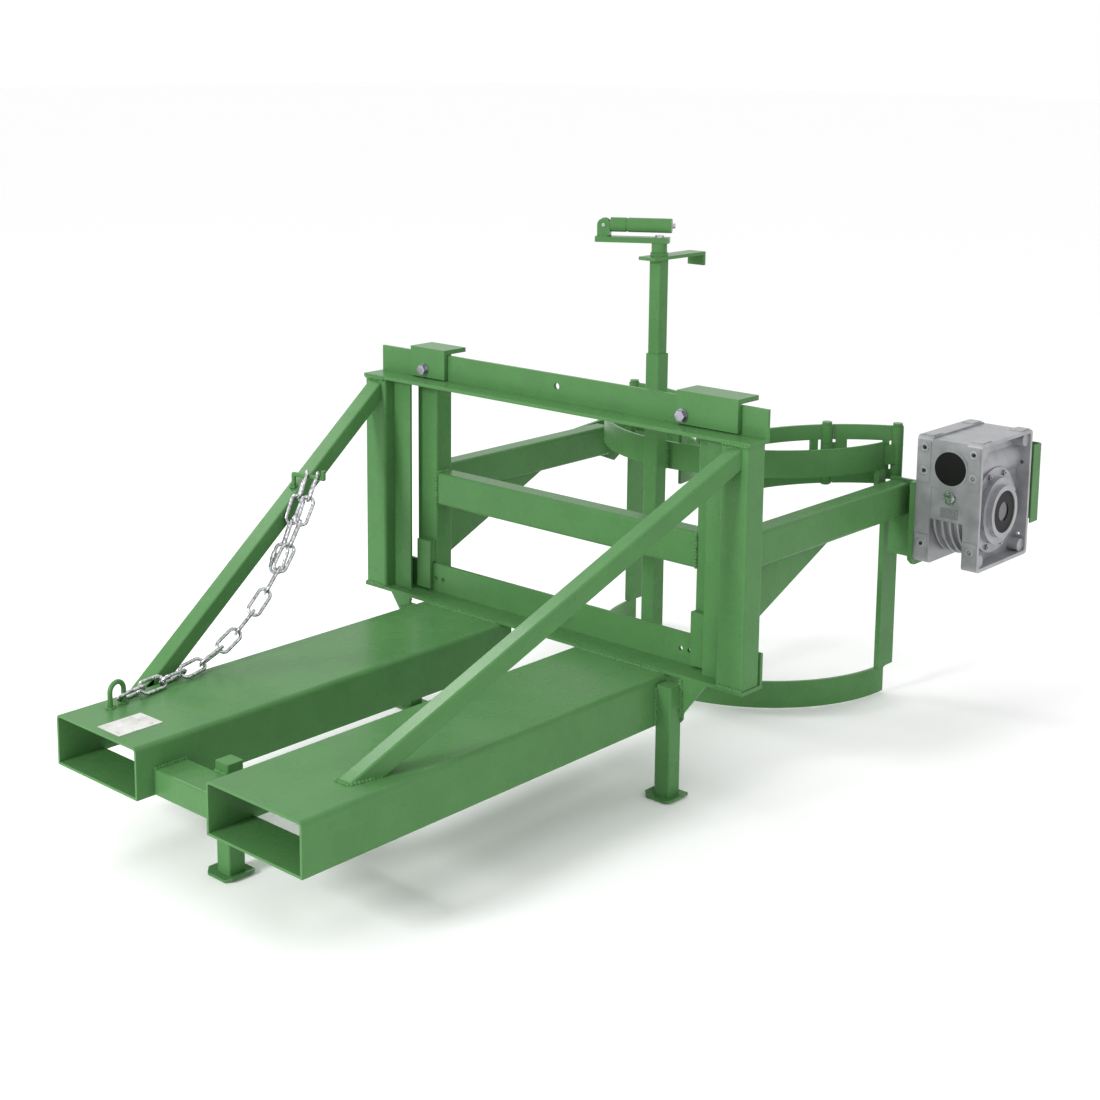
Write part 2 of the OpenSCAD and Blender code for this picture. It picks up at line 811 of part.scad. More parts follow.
module clamp_tube() {
  color(green) translate([0, postY, slideLow])
    tube(slideSide, slideSide, slideTop - slideLow, slideWall, 2.5);
}

module claw() {
  color(green) difference() {
    union() {
      translate([-18, clawBack, slideTop]) cube([36, clawFront - clawBack - 8, clawThick]);
      translate([0, clawFront - 8, 0]) translate([-18, 0, slideTop - 19])
        cube([36, 6, 19 + clawThick]);
      translate([0, postY, clawTop]) cylinder(r = 16, h = 6);
    }
    translate([0, postY, slideTop - 1]) cylinder(r = spindleR + 0.08, h = 30);
  }
}

module spindle() {
  color(zinc) translate([0, postY, lowerBandZ + 124])
    cylinder(r = spindleR, h = crankZ + crankThick + 4 - lowerBandZ - 124);
}

module crank_arm() {
  color(green) translate([0, postY, crankZ]) rotate([0, 0, crankTurn]) {
    difference() {
      union() {
        translate([-18, -12.5, 0]) cube([crankReach + 33, 25, crankThick]);
        translate([0, 0, seat - neckHigh]) cylinder(r = 14, h = neckHigh);
      }
      translate([0, 0, -neckHigh]) cylinder(r = spindleR + 0.02, h = neckHigh + 20);
    }
    translate([crankReach, 0, crankThick]) {
      cylinder(r = 13, h = 2);
      difference() {
        union() {
          translate([-yokeR, -11, 2]) cube([2 * yokeR, 22, gripRise - 2]);
          translate([0, 0, gripRise]) rotate([90, 0, 0]) cylinder(r = yokeR, h = 22, center = true);
        }
        translate([-13, -6.2, 12]) cube([26, 12.4, 40]);
        translate([0, 0, gripRise]) rotate([90, 0, 0]) cylinder(r = 3.1, h = 40, center = true);
      }
    }
  }
}

module grip_rod() {
  color(zinc) translate([0, postY, 0]) rotate([0, 0, crankTurn])
    translate([crankReach, 0, gripZ]) {
      rotate([90, 0, 0]) cylinder(r = 6, h = 12, center = true);
      rotate([90, 0, 0]) cylinder(r = 3, h = 25, center = true);
      rotate([0, -90, 0]) cylinder(r = 4.5, h = 12 + gripLength + 6);
    }
}

module grip() {
  color(green) translate([0, postY, 0]) rotate([0, 0, crankTurn])
    translate([crankReach - 12, 0, gripZ]) rotate([0, -90, 0]) difference() {
      cylinder(r = gripR, h = gripLength);
      translate([0, 0, 30]) rotate_extrude() translate([gripR + 1, 0]) circle(2.2, $fn = 48);
      translate([0, 0, -1]) cylinder(r = 4.58, h = gripLength + 2);
    }
}

// Worm gearbox

// Plate in the YZ plane with the outline of the gearbox, smaller by an inset
module boxPlate(x, thick, inset, r) {
  translate([x, (boxY + boxRear) / 2, (boxZ + boxTop) / 2]) rotate([90, 0, 90])
    linear_extrude(thick) roundRect(boxLong - 2 * inset, boxHigh - 2 * inset, r);
}

module alongX(x, y, z, r, h) {
  translate([x, y, z]) rotate([0, 90, 0]) cylinder(r = r, h = h);
}

module alongY(x, y, z, r, h) {
  translate([x, y, z]) rotate([-90, 0, 0]) cylinder(r = r, h = h);
}

farFlange = boxX + boxWide - flangeThick;
webFrom = boxX + flangeThick - 1;
webWide = boxWide - 2 * flangeThick + 2;
boltY = [boxY + 16, boxRear - 22];
boltZ = [boxZ + 8, boxZ + 130];

// Two side flanges with machined pads, and between them the round wheel case,
// the worm case across the top and the flat face for the nameplate
module housingBody() {
  for (x = [boxX, farFlange]) {
    boxPlate(x, flangeThick, padProud, 8);
    for (z = [[boxZ + 18, 36], [boxTop - 84, 74]])
      translate([x + 4, boxY, z[0]]) cube([flangeThick - 7, boxLong, z[1]]);
    for (y = [boxY + 8, boxRear - 40])
      translate([x + 4, y, boxTop - 20]) cube([flangeThick - 7, 32, 20]);
  }
  alongX(webFrom, ringY, pivotZ, 78, webWide);
  translate([webFrom, boxY + padProud, wormZ - 38]) cube([webWide, boxLong - padProud, boxTop - 5 - wormZ + 38]);
  translate([webFrom, boxY + 3, pivotZ - 14]) cube([webWide, boxLong - 6, wormZ - pivotZ]);
  intersection() {
    for (i = [0:3]) alongX(webFrom + 9 + i * (webWide - 22) / 3, ringY, pivotZ, 88, 3.5);
    translate([webFrom, boxY - 1, boxZ]) cube([webWide, boxLong, pivotZ - 14 - boxZ]);
  }
  alongY(wormX, boxY - 1, wormZ, 33.5, 12);
}

module outputRecess() {
  difference() {
    boxPlate(coverX, recessDeep + 1, 8, 6);
    for (y = [boxY + 19, boxRear - 19]) for (z = [boxZ + 19, boxTop - 19])
      alongX(coverX - 1, y, z, 12, recessDeep - 3);
    alongY(wormX, boxY, wormZ, 40, boxLong);
  }
}

module gear_housing() {
  color(boxGrey) difference() {
    housingBody();
    outputRecess();
    alongX(coverX, ringY, pivotZ, coverR + seat, recessDeep + 1);
    alongY(wormX, boxY - 2, wormZ, 30.2, 2 + padProud);
    alongY(wormX, boxY - 1, wormZ, 22, boxLong - 9);
    alongY(wormX, boxY + 17, wormZ, wormR + 2.3, boxLong - 42);
    alongX(boxX + 12, ringY, pivotZ, wheelR + 2, boxWide - recessDeep - 23);
    alongX(boxX - 1, ringY, pivotZ, 31, 20);
    alongX(coverX - 12, ringY, pivotZ, 62, 14);
    alongY(wormX, boxY - 5, pivotZ + 29, 5, 18);
    for (x = [boxX + flangeThick / 2, farFlange + flangeThick / 2]) for (y = [boxY - 1, boxRear - 14])
      for (z = [boxZ + 36, boxTop - 64, boxTop - 22]) alongY(x, y, z, 3.6, 15);
    for (y = boltY) for (z = boltZ) alongX(boxX - 1, y, z, 5.3, 13.5);
  }
}

module output_cover() {
  color(boxGrey) difference() {
    union() {
      alongX(coverX - 8, ringY, pivotZ, 61.7, 9);
      alongX(coverX, ringY, pivotZ, coverR, 9);
      alongX(coverX, ringY, pivotZ, 60, 20);
      alongX(coverX, ringY, pivotZ, 47, 29);
    }
    alongX(coverX - 9, ringY, pivotZ, 31, 15);
    alongX(coverX - 10, ringY, pivotZ, sleeveR + seat, 50);
    alongX(coverX + 19, ringY, pivotZ, 38, 11);
    atScrews(coverX - 1) cylinder(r = 3.05, h = 11);
  }
}

module atScrews(x) {
  for (a = [22.5:45:359])
    translate([x, ringY + screwRing * cos(a), pivotZ + screwRing * sin(a)]) rotate([0, 90, 0]) children();
}

module cover_screws() {
  color(zinc) {
    atScrews(coverX + 9) difference() {
      cylinder(r = 4.8, h = 4.5);
      translate([0, 0, 2]) cylinder(r = 2.3, h = 4, $fn = 6);
    }
    atScrews(coverX + 1) cylinder(r = 3, h = 8);
  }
}

// Wheel on a hollow output shaft
module worm_wheel() {
  color([0.72, 0.55, 0.25]) difference() {
    union() {
      alongX(wormX - 13, ringY, pivotZ, wheelR, 26);
      alongX(wormX - 30, ringY, pivotZ, 27, 52);
      alongX(boxX + 1, ringY, pivotZ, sleeveR, boxWide + 1);
    }
    alongX(boxX, ringY, pivotZ, shaftD / 2 + 0.02, boxWide + 10);
  }
}

module worm_shaft() {
  color(darkSteel) {
    alongY(wormX, boxY + 2, wormZ, 10, boxLong - 13);
    alongY(wormX, ringY - 35, wormZ, wormR, 70);
  }
}

module rubber_caps() {
  color(blackPlastic) {
    alongY(wormX, boxY - 1.5, wormZ, 30, 3);
    difference() {
      alongX(coverX + 19, ringY, pivotZ, 37.9, 8);
      alongX(coverX + 18, ringY, pivotZ, sleeveR + seat, 10);
    }
  }
}

module gear_bearings() {
  color(darkSteel) {
    for (y = [boxY + 2, boxRear - 24]) difference() {
      alongY(wormX, y, wormZ, 22, 14);
      alongY(wormX, y - 1, wormZ, 10.05, 20);
    }
    for (x = [boxX + 1, coverX - 7]) difference() {
      alongX(x, ringY, pivotZ, 31, 13);
      alongX(x - 1, ringY, pivotZ, sleeveR + 0.05, 20);
    }
  }
}

module breather() {
  color(zinc) translate([wormX, boxY + 3, pivotZ + 29]) rotate([90, 0, 0]) {
    cylinder(r = 12, h = 2);
    translate([0, 0, 2]) cylinder(r = 8, h = 4, $fn = 6);
    translate([0, 0, -8]) cylinder(r = 4.9, h = 8);
  }
}

module nameplate() {
  color([0.75, 0.75, 0.74]) translate([wormX - 17, boxY + 2, pivotZ - 8]) cube([33, 1, 18]);
}

module gearbox_bolts() {
  color(zinc) for (y = boltY) for (z = boltZ)
    translate([plateX, y, z]) rotate([0, -90, 0]) {
      hexHead(16, 6, 10);
      translate([0, 0, -plateThick - 12]) cylinder(r = 5.2, h = plateThick + 12);
    }
}

module feed_bracket() {
  color(green) translate([boxX + 40, boxY + boxLong, pivotZ - 48]) difference() {
    cube([42, 42, 135]);
    translate([-1, 4, 4]) cube([34, 60, 127]);
  }
}

right_fork_pocket();
left_fork_pocket();
pocket_straps();
front_crossbar();
legs();
foot_plates();
leg_gussets();
bottom_angle();
top_angle();
corner_posts();
inner_stiles();
right_brace();
left_brace();
chain_eye();
rod_hook();
safety_chain();
quick_link();
label_plate();
hook_posts();
crossbeam();
arms();
arm_gussets();
upper_hooks();
hook_bolts();
lower_retainers();
gearbox_plate();
left_bearing_plate();
left_pivot_bush();
back_ring();
lower_ring();
uprights();
right_pivot_shaft();
left_pivot_shaft();
clamp_post();
post_pads();
spindle_nut();
hinge_pins();
cable_tie();
gate_link();
middle_pin();
right_wing();
left_wing();
gate_latch();
clamp_tube();
claw();
spindle();
crank_arm();
grip_rod();
grip();
gear_housing();
output_cover();
cover_screws();
worm_wheel();
worm_shaft();
rubber_caps();
gear_bearings();
breather();
nameplate();
gearbox_bolts();
feed_bracket();
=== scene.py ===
import json
import math

import bpy
import numpy as np
from mathutils import Matrix, Vector


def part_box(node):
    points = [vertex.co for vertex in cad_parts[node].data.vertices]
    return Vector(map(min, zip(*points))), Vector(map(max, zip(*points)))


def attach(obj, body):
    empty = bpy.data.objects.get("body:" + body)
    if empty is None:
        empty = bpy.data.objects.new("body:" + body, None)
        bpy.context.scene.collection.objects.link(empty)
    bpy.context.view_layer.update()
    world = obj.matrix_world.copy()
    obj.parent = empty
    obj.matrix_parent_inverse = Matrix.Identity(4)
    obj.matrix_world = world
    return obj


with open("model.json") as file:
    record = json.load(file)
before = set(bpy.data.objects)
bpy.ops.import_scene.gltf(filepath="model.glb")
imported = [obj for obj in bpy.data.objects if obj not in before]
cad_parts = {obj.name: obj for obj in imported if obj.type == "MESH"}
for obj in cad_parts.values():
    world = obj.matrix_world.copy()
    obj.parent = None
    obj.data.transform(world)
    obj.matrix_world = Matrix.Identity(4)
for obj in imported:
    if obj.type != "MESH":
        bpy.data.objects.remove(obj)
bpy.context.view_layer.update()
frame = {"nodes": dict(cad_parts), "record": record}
scene = bpy.context.scene
print("frame loaded")


# Small helpers

# sRGB hex to linear, with the two-part sRGB curve
def linear(hexColor):
    parts = [int(hexColor[i:i + 2], 16) / 255 for i in (0, 2, 4)]
    return tuple(p / 12.92 if p <= 0.04045 else ((p + 0.055) / 1.055) ** 2.4 for p in parts) + (1.0,)


# Adds a shader node, sets its plain properties and sockets, and links sockets to other nodes
def addNode(tree, kind, settings=None, links=None):
    node = tree.nodes.new(kind)
    for key, value in (settings or {}).items():
        if key in node.inputs:
            node.inputs[key].default_value = value
        else:
            setattr(node, key, value)
    for key, source in (links or {}).items():
        tree.links.new(source, node.inputs[key])
    return node


# An empty material with one shader, and Object coordinates to place its patterns
def material(name, settings):
    made = bpy.data.materials.new(name)
    made.use_nodes = True
    tree = made.node_tree
    tree.nodes.clear()
    output = tree.nodes.new("ShaderNodeOutputMaterial")
    shader = addNode(tree, "ShaderNodeBsdfPrincipled", settings)
    tree.links.new(shader.outputs["BSDF"], output.inputs["Surface"])
    place = tree.nodes.new("ShaderNodeTexCoord").outputs["Object"]
    return made, tree, shader, place


# Noise whose patches are about grain millimetres wide
def noise(tree, place, grain, detail=3.0):
    settings = {"Scale": 1000 / grain, "Detail": detail, "Roughness": 0.55}
    return addNode(tree, "ShaderNodeTexNoise", settings, {"Vector": place}).outputs["Fac"]


# Spreads the middle of a noise over a range
def spread(tree, factor, low, high, fromLow=0.35, fromHigh=0.65):
    settings = {"From Min": fromLow, "From Max": fromHigh, "To Min": low, "To Max": high}
    return addNode(tree, "ShaderNodeMapRange", settings, {"Value": factor}).outputs["Result"]


# Mixes two colours by a factor, where the dark one may come from another node. The Mix node's
# sockets 0, 6 and 7 are its factor and its two colours
def tint(tree, factor, dark, light):
    mix = addNode(tree, "ShaderNodeMix", {"data_type": "RGBA"})
    mix.inputs[6].default_value = dark if isinstance(dark, tuple) else (0, 0, 0, 1)
    mix.inputs[7].default_value = light
    if not isinstance(dark, tuple):
        tree.links.new(dark, mix.inputs[6])
    tree.links.new(factor, mix.inputs[0])
    return mix.outputs[2]


def bump(tree, shader, height, strength, distance):
    node = addNode(tree, "ShaderNodeBump", {"Strength": strength, "Distance": distance}, {"Height": height})
    tree.links.new(node.outputs["Normal"], shader.inputs["Normal"])


# Materials

def greenEnamel(name, peelDepth):
    gloss = {"Specular IOR Level": 0.10, "Coat Weight": 0.03, "Coat Roughness": 0.06}
    made, tree, shader, place = material(name, gloss)
    # cloudy tone 60 mm wide, as sprayed enamel on rolled steel
    cloud = noise(tree, place, 60)
    body = tint(tree, spread(tree, cloud, 0, 1), linear("4e7b49"), linear("51804c"))
    # rare dark specks of 3 mm, the dust and chips that the eye finds on shop paint
    speck = spread(tree, noise(tree, place, 3, 1.0), 0, 0.55, fromLow=0.71, fromHigh=0.76)
    tree.links.new(tint(tree, speck, body, linear("2f4a2b")), shader.inputs["Base Color"])
    # orange peel of 2 mm makes the light on the tubes a little uneven
    bump(tree, shader, noise(tree, place, 2, 2.0), 0.25, peelDepth)
    tree.links.new(spread(tree, cloud, 0.26, 0.29), shader.inputs["Roughness"])
    return made


def zincSteel():
    made, tree, shader, place = material("zinc plated steel", {"Metallic": 1.0})
    # spangle 5 mm wide in tone and gloss, so that every link has light and dark stretches
    spangle = noise(tree, place, 5)
    tree.links.new(tint(tree, spread(tree, spangle, 0, 1), linear("96969a"), linear("e2e2e6")),
                   shader.inputs["Base Color"])
    tree.links.new(spread(tree, spangle, 0.18, 0.34), shader.inputs["Roughness"])
    return made


def passivatedZinc():
    made, tree, shader, place = material("passivated zinc on fasteners", {"Metallic": 1.0})
    # the thin film gives bolts a violet grey that shifts over 12 mm
    film = noise(tree, place, 12)
    tree.links.new(tint(tree, spread(tree, film, 0, 1), linear("8a8794"), linear("b4b0bd")),
                   shader.inputs["Base Color"])
    tree.links.new(spread(tree, film, 0.28, 0.45), shader.inputs["Roughness"])
    return made


def castAluminium():
    made, tree, shader, place = material("silver painted aluminium casting", {"Metallic": 0.4})
    # tone 40 mm wide under the silver paint
    cloud = noise(tree, place, 40)
    tree.links.new(tint(tree, spread(tree, cloud, 0, 1), linear("949598"), linear("a8a9ac")),
                   shader.inputs["Base Color"])
    tree.links.new(spread(tree, cloud, 0.34, 0.46), shader.inputs["Roughness"])
    # die-cast skin of 1.6 mm grain
    bump(tree, shader, noise(tree, place, 1.6, 4.0), 0.3, 0.0004)
    return made


def darkSteel():
    settings = {"Metallic": 1.0, "Base Color": linear("76767a")}
    made, tree, shader, place = material("oiled dark steel", settings)
    # oil film 5 mm wide that breaks the gloss
    tree.links.new(spread(tree, noise(tree, place, 5), 0.3, 0.45), shader.inputs["Roughness"])
    return made


def blackRubber():
    settings = {"Base Color": linear("121212"), "Specular IOR Level": 0.2}
    made, tree, shader, place = material("black nitrile rubber", settings)
    # faint moulded grain of 1 mm keeps the caps from looking like holes
    grain = noise(tree, place, 1)
    tree.links.new(spread(tree, grain, 0.42, 0.55), shader.inputs["Roughness"])
    bump(tree, shader, grain, 0.15, 0.0003)
    return made


def paleNylon():
    made, tree, shader, place = material("pale nylon", {"Roughness": 0.4, "Subsurface Weight": 0.05})
    # milky tone 10 mm wide
    tree.links.new(tint(tree, noise(tree, place, 10), linear("d6d6d0"), linear("e6e6e2")),
                   shader.inputs["Base Color"])
    return made


def labelFoil():
    made, tree, shader, place = material("worn white label foil", {"Roughness": 0.5})
    clean = tint(tree, spread(tree, noise(tree, place, 25, 5.0), 0, 1), linear("b9b9b4"), linear("cfcfcc"))
    # grey scuffs 6 mm wide on the bare foil
    scuff = spread(tree, noise(tree, place, 6, 6.0), 0, 0.6, fromLow=0.58, fromHigh=0.68)
    tree.links.new(tint(tree, scuff, clean, linear("8b8d86")), shader.inputs["Base Color"])
    return made


def plateAluminium():
    made, tree, shader, place = material("printed aluminium nameplate", {"Metallic": 0.35})
    # matt ink over rolling marks 4 mm wide makes it darker than the casting
    mark = noise(tree, place, 4)
    tree.links.new(tint(tree, spread(tree, mark, 0, 1), linear("77787a"), linear("8e8f91")),
                   shader.inputs["Base Color"])
    tree.links.new(spread(tree, mark, 0.35, 0.5), shader.inputs["Roughness"])
    return made


def turnedMetal(name, dark, light):
    made, tree, shader, place = material(name, {"Metallic": 1.0})
    # tool marks 7 mm wide break up the smooth faces
    mark = noise(tree, place, 7)
    tree.links.new(spread(tree, mark, 0.25, 0.4), shader.inputs["Roughness"])
    tree.links.new(tint(tree, mark, linear(dark), linear(light)), shader.inputs["Base Color"])
    return made


enamel = greenEnamel("green enamel", 0.0005)
weldEnamel = greenEnamel("green enamel over weld", 0.0016)
fastenerZinc = passivatedZinc()
# only the end of the worm wheel's sleeve shows, nearly black inside the output cover
hollowShaft = turnedMetal("blacked steel sleeve", "1b1b1c", "242426")
slotMaterials = {
    "green_enamel": enamel,
    "zinc_steel": zincSteel(),
    "gearbox_casting": castAluminium(),
    "dark_steel": darkSteel(),
    "black_plastic": blackRubber(),
    "white_plastic": paleNylon(),
    "label_plate": labelFoil(),
    "bronze": turnedMetal("machined bronze", "b0854a", "ba9054"),
}
nodeMaterials = {
    "hook_bolts": fastenerZinc,
    "gearbox_bolts": fastenerZinc,
    "cover_screws": fastenerZinc,
    "hinge_pins": enamel,
    "middle_pin": enamel,
    "worm_wheel": hollowShaft,
    "nameplate": plateAluminium(),
}
softEdge = {"width": 0.0008, "segments": 2, "angle": 40}
slotOf = {s["node"]: s["material_slot"] for s in frame["record"]["subparts"]}


def softenEdges(obj, hardenNormals):
    edges = obj.modifiers.new("soft edges", "BEVEL")
    edges.width = softEdge["width"]
    edges.segments = softEdge["segments"]
    edges.limit_method = "ANGLE"
    edges.angle_limit = math.radians(softEdge["angle"])
    edges.harden_normals = hardenNormals


for name, obj in frame["nodes"].items():
    obj.data.materials.clear()
    obj.data.materials.append(nodeMaterials.get(name, slotMaterials[slotOf[name]]))
    softenEdges(obj, True)
print("materials on the frame")


# New pieces

def addSurface(name, points, faces, body, finish, smooth):
    mesh = bpy.data.meshes.new(name)
    mesh.from_pydata(points.tolist(), [], faces)
    mesh.polygons.foreach_set("use_smooth", np.full(len(mesh.polygons), smooth))
    mesh.materials.append(finish)
    mesh.update()
    made = bpy.data.objects.new(name, mesh)
    scene.collection.objects.link(made)
    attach(made, body)
    return made


# Weld seams

weld = {
    "radius": 0.0034,
    "ripple": 0.0060,
    "swell": 0.20,
    "wander": 0.14,
    "wanderRipples": 3.1,
    "endRise": 0.0001,
    "phaseStep": 1.7,
    "step": 0.0008,
    "fewestPoints": 8,
    "pointsRound": 60,
    "sides": 14,
}


# Points of a straight seam, one every step
def straight(start, end):
    start, end = np.array(start), np.array(end)
    count = max(weld["fewestPoints"], int(np.linalg.norm(end - start) / weld["step"]))
    return start + np.linspace(0, 1, count)[:, None] * (end - start)


# Points of a seam once round an upright rod
def around(center, radius):
    turn = np.linspace(0, 2 * np.pi, weld["pointsRound"])[:, None]
    return np.array(center) + radius * np.hstack([np.cos(turn), np.sin(turn), 0 * turn])


# Surface of one seam as vertices and faces: circles about the path, whose radius swells with a
# cosine of the ripple length and shrinks like the end of an ellipse at both ends, while the
# path wanders with a slower sine
def beadSurface(path, phase):
    along = np.linalg.norm(np.diff(path, axis=0), axis=1)
    run = np.concatenate([[0], np.cumsum(along)])
    forward = np.gradient(path, axis=0)
    forward /= np.linalg.norm(forward, axis=1)[:, None]
    upright = abs(forward[:, 2:]) > 0.9
    reference = np.where(upright, np.array([1.0, 0, 0]), np.array([0, 0, 1.0]))
    across = np.cross(forward, reference)
    across /= np.linalg.norm(across, axis=1)[:, None]
    over = np.cross(across, forward)
    fromEnd = np.minimum(run, run[-1] - run)
    taper = np.sqrt(1 - np.clip(1 - (fromEnd + weld["endRise"]) / weld["radius"], 0, 0.999) ** 2)
    rippled = 1 + weld["swell"] * np.cos(2 * np.pi * run / weld["ripple"] + phase)
    radius = weld["radius"] * taper * rippled
    slowRun = run / (weld["wanderRipples"] * weld["ripple"])
    shift = weld["radius"] * weld["wander"] * np.sin(2 * np.pi * slowRun + phase)
    center = path + shift[:, None] * (across + over)
    sides = weld["sides"]
    turn = (np.arange(sides) * 2 * np.pi / sides)[None, :, None]
    circle = np.cos(turn) * across[:, None, :] + np.sin(turn) * over[:, None, :]
    rings = center[:, None, :] + radius[:, None, None] * circle
    points = np.vstack([rings.reshape(-1, 3), center[:1], center[-1:]])
    row, column = np.meshgrid(np.arange(len(path) - 1), np.arange(sides), indexing="ij")
    here, beside = row * sides + column, row * sides + (column + 1) % sides
    quads = np.stack([here, here + sides, beside + sides, beside], axis=-1).reshape(-1, 4)
    rim = np.arange(sides)
    nextRim = (rim + 1) % sides
    last = (len(path) - 1) * sides
    front = np.stack([rim, nextRim, np.full_like(rim, len(points) - 2)], axis=-1)
    back = np.stack([last + nextRim, last + rim, np.full_like(rim, len(points) - 1)], axis=-1)
    return points, quads, np.vstack([front, back])


# One piece with all the seams of a body
def addWelds(name, paths, body):
    points, faces, offset = [], [], 0
    for number, path in enumerate(paths):
        seamPoints, quads, ends = beadSurface(path, weld["phaseStep"] * number)
        points.append(seamPoints)
        faces += (quads + offset).tolist() + (ends + offset).tolist()
        offset += len(seamPoints)
    addSurface(name, np.vstack(points), faces, body, weldEnamel, True)


# The same seam on both sides of the middle plane
def mirrored(path):
    return [path, path * np.array([-1.0, 1, 1])]


pocketLow, pocketHigh = map(np.array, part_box("right_fork_pocket"))
legHigh = np.array(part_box("legs")[1])
crossLow, crossHigh = map(np.array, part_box("front_crossbar"))
bottomLow = np.array(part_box("bottom_angle")[0])
topLow = np.array(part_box("top_angle")[0])
postLow, postHigh = map(np.array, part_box("corner_posts"))
beamLow, beamHigh = map(np.array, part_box("crossbeam"))
hookLow, hookHigh = map(np.array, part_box("hook_posts"))
plateHigh = np.array(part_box("upper_hooks")[1])
braceLow = np.array(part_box("right_brace")[0])
eyeLow, eyeHigh = map(np.array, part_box("chain_eye"))
rodLow = np.array(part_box("rod_hook")[0])
gussetLow = np.array(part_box("leg_gussets")[0])

frameWelds = {
    "leg": legHigh[0] - pocketHigh[0],
    "post": 0.050,
    "braceFoot": 0.054,
    "braceLean": 0.009,
    "hookPlate": 0.008,
    "rod": 0.004,
    "rodRoom": 0.001,
    "rodRise": 0.003,
    "fromEdge": 0.010,
    "tubeRound": 0.014,
}
leg = frameWelds["leg"]
rod = frameWelds["rod"]
roundRod = rod + frameWelds["rodRoom"]
edge = frameWelds["fromEdge"]
top = pocketHigh[2]
legEnd = legHigh[1] - leg
postInside = postHigh[0] - frameWelds["post"]
underHook = plateHigh[2] - frameWelds["hookPlate"]
braceSide = braceLow[0] + leg
framePaths = (
    # the bottom angle on the pockets
    mirrored(straight((pocketLow[0] + edge, bottomLow[1], top), (pocketHigh[0] - edge, bottomLow[1], top)))
    # the rear legs on the sides of the pockets
    + mirrored(straight((pocketHigh[0], legEnd, pocketLow[2]),
                        (pocketHigh[0], legEnd, top - frameWelds["tubeRound"])))
    # the crossbar between the pockets, and the front leg behind it
    + mirrored(straight((pocketLow[0], crossLow[1], crossHigh[2]),
                        (pocketLow[0], crossHigh[1], crossHigh[2])))
    + [straight((-leg / 2, crossHigh[1], crossHigh[2]), (leg / 2, crossHigh[1], crossHigh[2]))]
    # the corner posts between the two angles
    + mirrored(straight((postInside, postLow[1], postLow[2]), (postHigh[0], postLow[1], postLow[2])))
    + mirrored(straight((postInside, postLow[1], topLow[2]), (postHigh[0], postLow[1], topLow[2])))
    # the crossbeam between the hook posts
    + mirrored(straight((beamHigh[0], beamLow[1], beamLow[2]), (beamHigh[0], beamLow[1], beamHigh[2])))
    + mirrored(straight((beamHigh[0], beamLow[1], beamHigh[2]), (beamHigh[0], beamHigh[1], beamHigh[2])))
    # the hook plates on the hook posts
    + mirrored(straight((hookHigh[0], hookLow[1], underHook), (hookHigh[0], hookHigh[1], underHook)))
    # the gussets on the outer sides of the legs
    + mirrored(straight((legHigh[0], gussetLow[1], gussetLow[2] + edge), (legHigh[0], gussetLow[1], top)))
    # the foot of the right brace on its pocket
    + [straight((braceLow[0], braceLow[1], top), (braceSide, braceLow[1], top)),
       straight((braceSide, braceLow[1], top),
                (braceSide + frameWelds["braceLean"], braceLow[1] + frameWelds["braceFoot"], top))]
    # the feet of the chain eye and of the rod hook
    + [around((eyeLow[0] + rod, eyeHigh[1] - rod, top), roundRod),
       around((eyeHigh[0] - rod, eyeLow[1] + rod, top), roundRod),
       around((rodLow[0] + rod, rodLow[1] + rod, rodLow[2] + frameWelds["rodRise"]), roundRod)]
)
addWelds("frame_welds", framePaths, "frame")

bandLow, bandHigh = map(np.array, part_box("lower_ring"))
padLow, padHigh = map(np.array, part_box("post_pads"))
clampHigh = np.array(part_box("clamp_post")[1])
rotorWelds = {"halfUpright": 0.025, "proud": 0.0005, "fromEnd": 0.003, "fromBand": 0.006}
bandOut = bandHigh[0] + rotorWelds["proud"]
bandTall = bandHigh[2] - bandLow[2]
fromEnd = rotorWelds["fromEnd"]
rotorPaths = (
    # the uprights on the lower band
    mirrored(straight((bandOut, bandHigh[1] - rotorWelds["halfUpright"], bandHigh[2]),
                      (bandOut, bandHigh[1], bandHigh[2])))
    # the pads behind the clamp post
    + mirrored(straight((padHigh[0], clampHigh[1], padLow[2] + fromEnd),
                        (padHigh[0], clampHigh[1], bandHigh[2] - fromEnd)))
    + mirrored(straight((padHigh[0], clampHigh[1], padHigh[2] - bandTall + rotorWelds["fromBand"]),
                        (padHigh[0], clampHigh[1], padHigh[2] - fromEnd)))
)
addWelds("rotor_welds", rotorPaths, "rotor")
print("weld seams added")


# Raised rings round the bolt holes of the gearbox's flanges, and the bent plate behind it

flangeRing = {"middle": 0.0062, "half": 0.0022, "proud": 0.0012, "sides": 40, "section": 12}
boxLow, boxHigh = map(np.array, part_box("gear_housing"))


